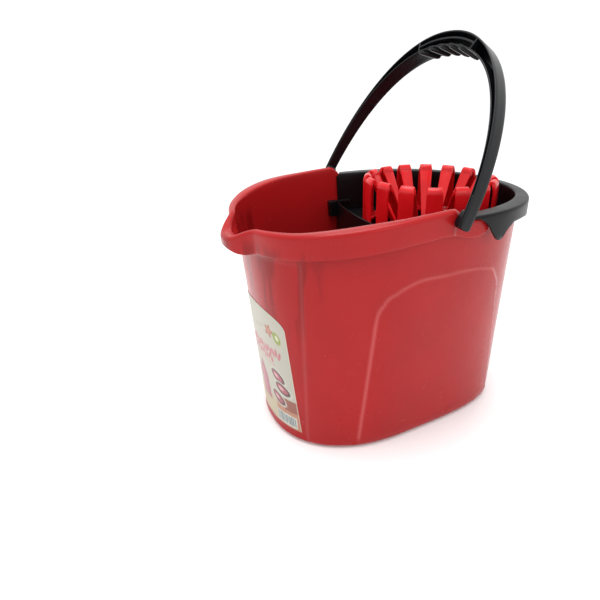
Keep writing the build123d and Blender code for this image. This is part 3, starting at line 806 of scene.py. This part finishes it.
def deck_piece():
    """The level deck between apron and cross wall, and a round hole with a short tube."""
    count = 288
    turn = np.arange(count) / count * TAU
    way = np.stack([np.cos(turn), np.sin(turn)], -1)
    middle = np.array([BASKET_X, 0.0])
    radius = cross_radius()
    centre = CROSS_FRONT_X + radius
    fine = np.linspace(0, TAU, 2400, endpoint=False)
    wall = wall_plan(fine, DECK_Z) - 3.6 * outward(oval(fine, SHOULDER_OVAL))
    kept = (wall[:, 0] > 3) & (np.hypot(wall[:, 0] - centre, wall[:, 1]) < radius - 1.0)
    arc = np.linspace(-0.45, 0.45, 1200)
    cross = np.stack([centre - (radius - 1.0) * np.cos(arc), (radius - 1.0) * np.sin(arc)], -1)
    within = np.abs(cross[:, 1]) < wall_half(cross[:, 0], DECK_Z) - 3.6
    border = np.concatenate([wall[kept], cross[within]]) - middle
    bearing = np.arctan2(border[:, 1], border[:, 0]) % TAU
    order = np.argsort(bearing)
    reach = np.interp(turn, np.concatenate([bearing[order] - TAU, bearing[order], bearing[order] + TAU]),
                      np.tile(np.hypot(*border[order].T), 3))
    rings = []

    def ring(distance, z):
        xy = middle + way * np.broadcast_to(distance, count)[:, None]
        rings.append(np.concatenate([xy, np.full((count, 1), z)], 1))

    top, low = DECK_Z, DECK_Z - DECK_THICK
    ring(79.6, top)
    for share in (0.25, 0.5, 0.75, 1.0):
        ring(79.6 + (reach - 79.6) * share, top)
    ring(reach, low)
    for share in (0.7, 0.4):
        ring(79.6 + (reach - 79.6) * share, low)
    ring(82.6, low)
    ring(81.6, low - 0.8)
    ring(81.5, 216.3)
    ring(81.0, 215.6)
    ring(79.5, 215.6)
    ring(79.0, 216.3)
    ring(79.0, top - 0.7)
    rings = np.stack(rings)
    return clean(new_mesh("deck", rings.reshape(-1, 3), grid_faces(len(rings), count, True, True)))


def wall_half(x, z):
    """Half-width of the wall's outside at an x and height."""
    fine = np.linspace(0, math.pi, 1500)
    plan = wall_plan(fine, z)
    return np.interp(x, plan[::-1, 0], plan[::-1, 1])


def cross_wall_piece():
    """The bowed wall between the mop space and the wringer, with a rounded top edge."""
    radius = cross_radius()
    centre = CROSS_FRONT_X + radius
    thick, high, low = 2.2, 245.0, 186.0
    section = [(0, low), (thick, low)] + [(thick, z) for z in (200, 215, 230, 240)]
    section += [(thick / 2 + thick / 2 * math.cos(t), high - 1.1 + 1.1 * math.sin(t))
                for t in np.linspace(0, math.pi, 9)]
    section += [(0, z) for z in (240, 230, 215, 200)]
    count = 97
    stations = np.zeros((count, len(section), 3))
    for k, (deep, z) in enumerate(section):
        reach = radius - deep
        low_y, high_y = 60.0, 135.0
        for _ in range(HALVINGS):
            mid = (low_y + high_y) / 2
            x = centre - math.sqrt(reach**2 - mid**2)
            inside = mid < float(wall_half(np.array([x]), z)[0]) - 3.1
            low_y, high_y = (mid, high_y) if inside else (low_y, mid)
        y = np.linspace(-low_y, low_y, count)
        stations[:, k] = np.stack([centre - np.sqrt(reach**2 - y**2), y, np.full(count, z)], -1)
    return loop_tube("cross_wall", stations)


def lug_piece(side):
    """A lug that stands forward of the cross wall, with a small hooked lip on top."""
    outline = [(-2.0, 225.0), (12.0, 225.0), (12.0, 243.6), (30.0, 243.6), (31.0, 244.6), (30.0, 246.0),
               (-1.0, 246.0), (-2.6, 245.2), (-2.6, 243.4), (-2.0, 242.6)]
    inner = {True: 7.2, False: 9.4}
    stations = []
    for t in np.linspace(0, 1, 7):
        ring = []
        for x, z in outline:
            depth = inner[z > 243] * t
            y = float(wall_half(np.array([x]), z)[0]) - 2.9 - depth
            squeeze = 0.5 if t == 1 else 0.0
            ring.append((x + (squeeze if x < 5 else -squeeze), side * y,
                         z - (squeeze if z > 235 else -squeeze)))
        stations.append(ring)
    return loop_tube("lug", np.array(stations))


class MOPBUCKET_OT_wringer_frame(bpy.types.Operator):
    """Moulds the black wringer frame: collar with pointed side tabs, apron, deck, bowed wall and lugs"""
    bl_idname = "mop_bucket.wringer_frame"
    bl_label = "Wringer frame"
    bl_options = {"REGISTER", "UNDO"}

    def execute(self, context):
        collar = loop_tube("collar", collar_rails(401))
        parts = [collar, deck_piece(), cross_wall_piece(), lug_piece(1), lug_piece(-1)]
        piece = join("wringer_frame_body", parts)
        finish_piece(shade(piece, 42), "bucket", "frame_plastic", frame_plastic(), "wringer_frame")
        return {"FINISHED"}


# ---------------------------------------------------------------- wringer basket


def hairpin_line():
    """Middle line of one finger in the plane through the basket's axis, as (radius, height)."""
    skin = 2.6
    points = [(BASKET_RADIUS - skin / 2, z) for z in np.linspace(233.5, 288.5, 24)]
    middle, width = BASKET_RADIUS - 5.5, 11.0
    for turn in np.linspace(0, math.pi, 17)[1:]:
        points.append((middle + (width - skin) / 2 * math.cos(turn), 288.8 + 5.9 * math.sin(turn)))
    start, end = np.array(points[-1]), np.array((29.7, 201.0))
    for share in np.linspace(0, 1, 34)[1:]:
        sag = 1.4 * math.sin(math.pi * share)
        here = start + (end - start) * share
        points.append((here[0] - 0.9 * sag, here[1] + 0.4 * sag))
    points += [(29.5, 197.0), (29.5, 192.0)]
    return np.array(points)


def finger_piece():
    """One hairpin finger: a flat strip, wider outside than in, with rounded edges and shoulders."""
    line = hairpin_line()
    side = right_of(np.gradient(line, axis=0))
    share = settings().finger_share
    half = line[:, 0] * math.tan(math.pi / 16 * share)
    half = np.where(line[:, 1] > 286, half - 1.2 * ease(line[:, 1], 287, 296), half)
    # The strip is solid in the hairpin's bend.
    fill = 1.9 * ease(line[:, 1], 283, 289)
    corner = 0.8
    stations = []
    for (r, z), (nr, nz), w, more in zip(line, side, half, fill):
        ring = []
        for quarter, (sx, st) in enumerate(((1, 1), (-1, 1), (-1, -1), (1, -1))):
            for k in range(4):
                turn = quarter * math.pi / 2 + k * math.pi / 6
                across = sx * (w - corner) + corner * math.cos(turn)
                deep = st * (1.3 - corner) + corner * math.sin(turn) - (more if st < 0 else 0.0)
                ring.append((r + nr * deep, across, z + nz * deep))
        stations.append(ring)
    piece = loop_tube("wringer_fingers", np.array(stations))
    piece.data.transform(Matrix.Translation((BASKET_X * MM, 0, 0)))
    return piece


def turned_piece(name, profile, count, closed=True):
    """A profile of (radius, height) turned round the basket's axis; a closed one ends where it starts."""
    turn = np.arange(count) / count * TAU
    rings = [np.stack([BASKET_X + r * np.cos(turn), r * np.sin(turn), np.full(count, z)], -1)
             for r, z in profile]
    return clean(new_mesh(name, np.concatenate(rings), grid_faces(len(profile), count, closed, True)))


def drain_cup():
    """The cup under the fingers, with a ring of drain holes through its floor."""
    profile = [(0, 189.0), (8, 189.0), (16, 189.0), (24.5, 189.0), (27.2, 190.2), (28.4, 193), (28.4, 199.2),
               (28.9, 200.0), (30.5, 200.0), (31.0, 199.3), (31.0, 189.5), (30.2, 187.2), (28.0, 186.0),
               (16, 186.0), (8, 186.0), (0, 186.0)]
    cup = turned_piece("drain_cup", profile, 96, closed=False)
    around = np.arange(20) / 20 * TAU
    holes = [np.stack([BASKET_X + 18 + 2.5 * np.cos(around), 2.5 * np.sin(around), np.full(20, z)], -1)
             for z in (183.0, 187.5, 192.0)]
    drill = loop_tube("drills", np.stack(holes))
    drill = repeat_round(drill, 8, 0.0, TAU / 8, (0, 0, 1), (BASKET_X * MM, 0, 0), None)
    cut = cup.modifiers.new("drain holes", "BOOLEAN")
    cut.operation, cut.solver, cut.object = "DIFFERENCE", "EXACT", drill
    apply_modifiers(cup)
    bpy.data.objects.remove(drill)
    return cup


class MOPBUCKET_OT_wringer_basket(bpy.types.Operator):
    """Moulds the bright red basket: hairpin fingers on a seat ring, slanting down to a drain cup"""
    bl_idname = "mop_bucket.wringer_basket"
    bl_label = "Wringer basket"
    bl_options = {"REGISTER", "UNDO"}

    def execute(self, context):
        s = settings()
        plastic = basket_plastic()
        fingers = repeat_round(finger_piece(), s.fingers, math.pi / s.fingers, TAU / s.fingers, (0, 0, 1),
                               (BASKET_X * MM, 0, 0), plastic)
        seat = [(75.5, 230.9), (76.1, 230.3), (84.0, 230.3), (BASKET_RADIUS, 230.9), (BASKET_RADIUS, 235.4),
                (84.0, 236.0), (81.6, 236.2), (80.8, 235.4), (80.4, 233.4), (76.1, 233.3), (75.5, 232.7)]
        ring = turned_piece("seat_ring", seat, 192)
        piece = join("wringer_basket_body", [ring, drain_cup(), fingers])
        finish_piece(shade(piece, 42), "basket", "basket_plastic", plastic, "wringer_basket")
        return {"FINISHED"}


# ---------------------------------------------------------------- handle


def arch(turn, shape):
    half, high, power = shape
    return power_curve(turn, 0, half, high, power)


def in_arch(at, shape):
    half, high, power = shape
    return np.abs(at[:, 0] / half) ** power + np.abs(at[:, 1] / high) ** power - 1


def bail_path(count):
    """Middle line of the bail, its normal, and the distances to its outer and inner curves."""
    middle = tuple((a + b) / 2 for a, b in zip(BAIL_OUTER, BAIL_INNER))
    start = math.asin(((BAIL_DROP - 6.75) / middle[1]) ** (middle[2] / 2))
    fine = arch(np.linspace(start, math.pi - start, 6001), middle)
    along = np.concatenate([[0], np.cumsum(np.linalg.norm(np.diff(fine, axis=0), axis=1))])
    spread = np.linspace(0, 1, count)
    even = spread * along[-1]
    line = np.stack([np.interp(even, along, fine[:, 0]), np.interp(even, along, fine[:, 1])], -1)
    normal = right_of(np.gradient(line, axis=0))
    found = []
    for shape, sign in ((BAIL_OUTER, 1), (BAIL_INNER, -1)):
        low, high = np.zeros(count), np.full(count, 25.0)
        for _ in range(HALVINGS):
            mid = (low + high) / 2
            value = in_arch(line + normal * (sign * mid)[:, None], shape) * sign
            low, high = np.where(value > 0, low, mid), np.where(value > 0, mid, high)
        found.append((low + high) / 2)
    return line, normal, found[0], found[1]


def bail_frame():
    up = np.array([math.sin(LEAN), 0, math.cos(LEAN)])
    ahead = np.array([math.cos(LEAN), 0, -math.sin(LEAN)])
    return np.array([PIVOT_X, 0, PIVOT_Z]), np.array([0, 1.0, 0]), up, ahead


def bail_place(across, height, deep):
    """A point of the bail from its width, its height above the arch's widest level, and its depth."""
    pivot, side, up, ahead = bail_frame()
    return (pivot + np.multiply.outer(across, side) + np.multiply.outer(height - BAIL_DROP, up)
            + np.multiply.outer(deep, ahead))


def bail_width(height):
    """Width of the bail along its depth, round at the leg's end."""
    above = height - BAIL_DROP
    share = np.clip(above / (BAIL_OUTER[1] - BAIL_DROP), 0, 1)
    width = BAIL_WIDTH[0] + (BAIL_WIDTH[1] - BAIL_WIDTH[0]) * share
    tip = np.clip(-above / 6.75, 0, 0.992)
    return width * (1 - tip**4.5) ** (1 / 4.5)


def bail_piece():
    """The bail as a channel carried along the arch, open at its front edge."""
    line, normal, out, inn = bail_path(421)
    width = bail_width(line[:, 1])
    thick = out + inn
    skin = np.minimum(1.7, thick * 0.3)
    open_share = ease(line[:, 1] - BAIL_DROP, 26, 34)
    half = width / 2
    floor = -half + (width - 1.7) * open_share + 0.9 * (1 - open_share)
    edge_radius = 0.7
    stations = np.zeros((len(line), 32, 3))
    for i in range(len(line)):
        o, n, h, k, f = out[i], -inn[i], half[i], skin[i], floor[i]
        c = min(edge_radius, h * 0.45, (o - n) * 0.3)
        e = min(0.35, k * 0.3)
        shape = [(-h + e, o - k), (-h, o - k + e), (-h, o - c), (-h + 0.3 * c, o - 0.3 * c), (-h + c, o),
                 (-h * 0.5, o), (0, o), (h * 0.5, o), (h - c, o), (h - 0.3 * c, o - 0.3 * c), (h, o - c),
                 (h, (o + n) / 2), (h, n + c), (h - 0.3 * c, n + 0.3 * c), (h - c, n), (h * 0.5, n), (0, n),
                 (-h * 0.5, n), (-h + c, n), (-h + 0.3 * c, n + 0.3 * c), (-h, n + c), (-h, n + k - e),
                 (-h + e, n + k), ((f - h) / 2 - 0.2, n + k), (f - 0.6, n + k),
                 (f - 0.15, n + k + 0.25 * (o - n) / 5), (f, n + k + 0.35 * (o - n - 2 * k)),
                 (f, (o + n) / 2), (f, o - k - 0.35 * (o - n - 2 * k)),
                 (f - 0.15, o - k - 0.25 * (o - n) / 5), (f - 0.6, o - k), ((f - h) / 2 - 0.2, o - k)]
        for j, (deep, radial) in enumerate(shape):
            at = line[i] + normal[i] * radial
            stations[i, j] = bail_place(at[0], at[1], deep)
    return loop_tube("bail", stations)


def slab(name, corners, rounding=0.4):
    """A small block between two four-sided ends, with eased edges."""
    vertices = np.array(corners, float)
    faces = [(0, 1, 2, 3), (7, 6, 5, 4), (0, 4, 5, 1), (1, 5, 6, 2), (2, 6, 7, 3), (3, 7, 4, 0)]
    piece = clean(new_mesh(name, vertices, faces))
    ease_edges = piece.modifiers.new("eased edges", "BEVEL")
    ease_edges.width, ease_edges.segments, ease_edges.limit_method = rounding * MM, 3, "NONE"
    return clean(apply_modifiers(piece))


def grip_ribs():
    """Two cross ribs close the channel at the ends of the grip, and one rib runs between them."""
    line, normal, out, inn = bail_path(421)
    ribs = []
    for side in (-1, 1):
        i = int(np.argmin(np.abs(line[:, 0] - side * 48) + 1000 * (line[:, 1] < 150)))
        step = np.array([-normal[i, 1], normal[i, 0]])
        half = bail_width(line[i:i + 1, 1])[0] / 2
        corners = []
        for way in (-1.1, 1.1):
            for radial, deep in ((out[i] - 0.5, -half + 0.25), (out[i] - 0.5, half - 0.8),
                                 (-inn[i] + 0.5, half - 0.8), (-inn[i] + 0.5, -half + 0.25)):
                at = line[i] + normal[i] * radial + step * way
                corners.append(bail_place(at[0], at[1], deep))
        ribs.append(slab("grip_rib", corners))
    keep = np.where((np.abs(line[:, 0]) < 48) & (line[:, 1] > 150))[0]
    stations = []
    for i in keep:
        half = bail_width(line[i:i + 1, 1])[0] / 2
        ring = []
        for radial, deep in ((1.1, half - 1), (-1.1, half - 1), (-1.1, -half + 1.1), (-0.5, -half + 0.6),
                             (0.5, -half + 0.6), (1.1, -half + 1.1)):
            at = line[i] + normal[i] * (radial + 0.5)
            ring.append(bail_place(at[0], at[1], deep))
        stations.append(ring)
    ribs.append(loop_tube("grip_web", np.array(stations)))
    return ribs


def grip_ridges(plastic):
    """Slanted finger ridges under the grip, copied round the arch's centre."""
    s = settings()
    high = BAIL_INNER[1]
    proud, width, slant = 3.2, 9.0, math.radians(38)
    half = bail_width(np.array([high]))[0] / 2 - 0.3
    stations = []
    for t in np.linspace(-1, 1, 15):
        deep = t * half
        shift = -deep * math.tan(slant)
        edge = 0.25 * abs(t) ** 6
        ring = []
        for u, v in ((-0.5, 0.9), (-0.5, -0.3), (-0.44, -0.75), (-0.3, -0.95), (-0.1, -1.0), (0.15, -0.96),
                     (0.33, -0.8), (0.45, -0.45), (0.5, 0.0), (0.5, 0.9)):
            fall = proud * (v if v > 0 else v * (1 - edge))
            ring.append(bail_place(u * width * (1 - edge) + shift, high + fall * (0.8 if v > 0 else 1),
                                   deep))
        stations.append(ring)
    ridge = loop_tube("grip_ridges", np.array(stations))
    pivot, _, up, ahead = bail_frame()
    radius = 152.0
    centre = (pivot + up * (high - BAIL_DROP - radius)) * MM
    step = 17.5 / radius
    return repeat_round(ridge, s.ridges, -step * (s.ridges - 1) / 2, step, tuple(ahead), tuple(centre),
                        plastic)


def pivot_pins():
    """A pin with a shouldered boss on the inside of each leg, in the ear's hole."""
    pins = []
    leg = BAIL_INNER[0] * (1 - (BAIL_DROP / BAIL_INNER[1]) ** BAIL_INNER[2]) ** (1 / BAIL_INNER[2]) + 0.8
    turn = np.arange(40) / 40 * TAU
    profile = [(2.6, 129.7), (3.6, 130.0), (4.0, 130.8), (4.0, 137.4), (4.8, 137.4), (5.2, 137.8),
               (5.3, 138.6), (5.3, leg)]
    pad = power_curve(turn, 0, 6.7, 6.6, 5.0)
    pad[:, 1] += np.where(pad[:, 1] > 0, 5.0, 0.0)
    for side in (-1, 1):
        rings = [np.stack([PIVOT_X + r * np.cos(turn), np.full(40, side * y), PIVOT_Z + r * np.sin(turn)],
                          -1) for r, y in profile]
        pins.append(loop_tube("pivot_pin", np.stack(rings)))
        rings = [bail_place(np.full(40, side * y), pad[:, 1] * size + BAIL_DROP, pad[:, 0] * size)
                 for y, size in ((141.4, 0.94), (141.8, 0.99), (142.2, 1.0), (leg, 1.0))]
        pins.append(loop_tube("leg_pad", np.stack(rings)))
    return pins


class MOPBUCKET_OT_handle(bpy.types.Operator):
    """Moulds the black bail handle: channel section, ribbed grip with finger ridges, and two pivot pins"""
    bl_idname = "mop_bucket.handle"
    bl_label = "Bail handle"
    bl_options = {"REGISTER", "UNDO"}

    def execute(self, context):
        plastic = handle_plastic()
        parts = [bail_piece()] + grip_ribs() + pivot_pins() + [grip_ridges(plastic)]
        piece = join("bail_handle_body", parts)
        finish_piece(shade(piece, 38), "handle", "handle_plastic", plastic, "handle")
        return {"FINISHED"}


# ---------------------------------------------------------------- stage

# Name, place, aim, size in metres and power in watts of each soft light.
STUDIO_LIGHTS = (
    ("overhead_softbox", (-0.1, 0.1, 1.7), (0, 0, 0.1), (1.5, 1.1), 25.0),
    ("left_softbox", (-1.5, -0.5, 0.9), (0, 0, 0.2), (0.5, 1.3), 1.0),
    ("front_softbox", (0.4, -1.9, 1.2), (0, 0, 0.15), (1.2, 0.8), 5.0),
)
# The camera's place in metres, and its right, up and backward directions.
CAMERA_PLACE = (-0.3046, -0.4826, 0.4089)
CAMERA_TURN = ((0.8746, -0.4848, 0.0), (0.2064, 0.3724, 0.9048), (-0.4387, -0.7914, 0.4258))
CAMERA_SHIFT = (-0.0808, -0.0025)
FLOOR_REACH, FLOOR_Z = 6000, -0.3

class MOPBUCKET_OT_stage(bpy.types.Operator):
    """Sets the pale floor, the soft studio lights and the camera"""
    bl_idname = "mop_bucket.stage"
    bl_label = "Stage"
    bl_options = {"REGISTER", "UNDO"}

    def execute(self, context):
        s = settings()
        scene = context.scene
        corners = [(x * FLOOR_REACH, y * FLOOR_REACH, FLOOR_Z)
                   for x, y in ((-1, -1), (1, -1), (1, 1), (-1, 1))]
        floor = new_mesh("studio_floor", corners, [(0, 1, 2, 3)])
        # A white laminate table: matt, with a faint unevenness of gloss.
        material, tree = new_material("white_laminate")
        place = add_node(tree, "ShaderNodeTexCoord").outputs["Object"]
        cloud = add_node(tree, "ShaderNodeTexNoise", {"Vector": place, "Scale": 1000 / 300})
        gloss = add_node(tree, "ShaderNodeMapRange", {"Value": cloud.outputs["Fac"], "To Min": 0.55,
                                                      "To Max": 0.65})
        shader = add_node(tree, "ShaderNodeBsdfPrincipled",
                          {"Base Color": s.floor_white, "Roughness": gloss.outputs["Result"],
                           "Specular IOR Level": 0.2})
        add_node(tree, "ShaderNodeOutputMaterial", {"Surface": shader.outputs["BSDF"]})
        floor.data.materials.append(material)
        world = bpy.data.worlds.new("studio_white")
        world.use_nodes = True
        world.node_tree.nodes.clear()
        light = add_node(world.node_tree, "ShaderNodeBackground",
                         {"Color": (1, 1, 1, 1), "Strength": s.room_light})
        add_node(world.node_tree, "ShaderNodeOutputWorld", {"Surface": light.outputs[0]})
        scene.world = world
        scene.view_settings.view_transform = "Standard"
        for name, place, aim, size, power in STUDIO_LIGHTS:
            lamp = bpy.data.lights.new(name, "AREA")
            lamp.shape, lamp.size, lamp.size_y, lamp.energy = "RECTANGLE", size[0], size[1], power
            box = bpy.data.objects.new(name, lamp)
            box.location = place
            box.rotation_euler = (Vector(place) - Vector(aim)).to_track_quat("Z", "Y").to_euler()
            scene.collection.objects.link(box)
        eye = bpy.data.cameras.new("camera")
        eye.lens, eye.sensor_width = s.lens, 36.0
        eye.shift_x, eye.shift_y = CAMERA_SHIFT
        eye.clip_start, eye.clip_end = 0.02, 50
        camera = bpy.data.objects.new("camera", eye)
        turn = Matrix(CAMERA_TURN).transposed().to_quaternion()
        camera.matrix_world = Matrix.LocRotScale(Vector(CAMERA_PLACE), turn, None)
        scene.collection.objects.link(camera)
        scene.camera = camera
        return {"FINISHED"}


# ---------------------------------------------------------------- add-on


class MopBucketSettings(bpy.types.PropertyGroup):
    wall: bpy.props.FloatProperty(name="Wall", description="Thickness of the bucket's wall", default=0.0024,
                                  min=0.0015, max=0.004, unit="LENGTH", precision=4)
    panel_proud: bpy.props.FloatProperty(name="Panel relief",
                                         description="How far the side panels stand out", default=0.0012,
                                         min=0.0, max=0.003, unit="LENGTH", precision=4)
    fingers: bpy.props.IntProperty(name="Fingers", description="Hairpin fingers round the wringer basket",
                                   default=16, min=6, max=24)
    finger_share: bpy.props.FloatProperty(name="Finger width",
                                          description="Share of each pitch that a finger fills",
                                          default=0.575, min=0.2, max=0.9, subtype="FACTOR")
    ridges: bpy.props.IntProperty(name="Grip ridges", description="Finger ridges under the grip", default=5,
                                  min=0, max=7)
    bucket_red: bpy.props.FloatVectorProperty(name="Bucket red", description="Colour of the bucket", size=4,
                                              subtype="COLOR", min=0, max=1, default=linear("#9C1618"))
    basket_red: bpy.props.FloatVectorProperty(name="Basket red", description="Colour of the wringer basket",
                                              size=4, subtype="COLOR", min=0, max=1,
                                              default=linear("#D2131A"))
    frame_black: bpy.props.FloatVectorProperty(name="Frame black",
                                               description="Colour of the wringer frame", size=4,
                                               subtype="COLOR", min=0, max=1, default=linear("#0C0C0D"))
    handle_black: bpy.props.FloatVectorProperty(name="Handle black", description="Colour of the bail",
                                                size=4, subtype="COLOR", min=0, max=1,
                                                default=linear("#0D0E12"))
    floor_white: bpy.props.FloatVectorProperty(name="Floor", description="Colour of the floor", size=4,
                                               subtype="COLOR", min=0, max=1, default=linear("#FDFDFD"))
    room_light: bpy.props.FloatProperty(name="Room light", description="Strength of the white room light",
                                        default=1.06, min=0, max=5)
    lens: bpy.props.FloatProperty(name="Lens", description="Focal length of the camera in millimetres",
                                  default=28.34, min=10, max=200)


class MOPBUCKET_PT_panel(bpy.types.Panel):
    bl_idname = "MOPBUCKET_PT_panel"
    bl_label = "Mop Bucket"
    bl_space_type = "VIEW_3D"
    bl_region_type = "UI"
    bl_category = "Mop Bucket"

    def draw(self, context):
        layout = self.layout
        for name in MopBucketSettings.__annotations__:
            layout.prop(context.scene.mop_bucket, name)
        for operator in STEPS:
            layout.operator(operator.bl_idname)


STEPS = (MOPBUCKET_OT_bucket, MOPBUCKET_OT_label, MOPBUCKET_OT_wringer_frame, MOPBUCKET_OT_wringer_basket,
         MOPBUCKET_OT_handle, MOPBUCKET_OT_stage)


def register():
    for item in (MopBucketSettings,) + STEPS + (MOPBUCKET_PT_panel,):
        bpy.utils.register_class(item)
    bpy.types.Scene.mop_bucket = bpy.props.PointerProperty(type=MopBucketSettings)


def unregister():
    del bpy.types.Scene.mop_bucket
    for item in ((MopBucketSettings,) + STEPS + (MOPBUCKET_PT_panel,))[::-1]:
        bpy.utils.unregister_class(item)


def main():
    register()
    bpy.ops.mop_bucket.bucket()
    bpy.ops.mop_bucket.label()
    bpy.ops.mop_bucket.wringer_frame()
    bpy.ops.mop_bucket.wringer_basket()
    bpy.ops.mop_bucket.handle()
    bpy.ops.mop_bucket.stage()


if __name__ == "__main__":
    main()
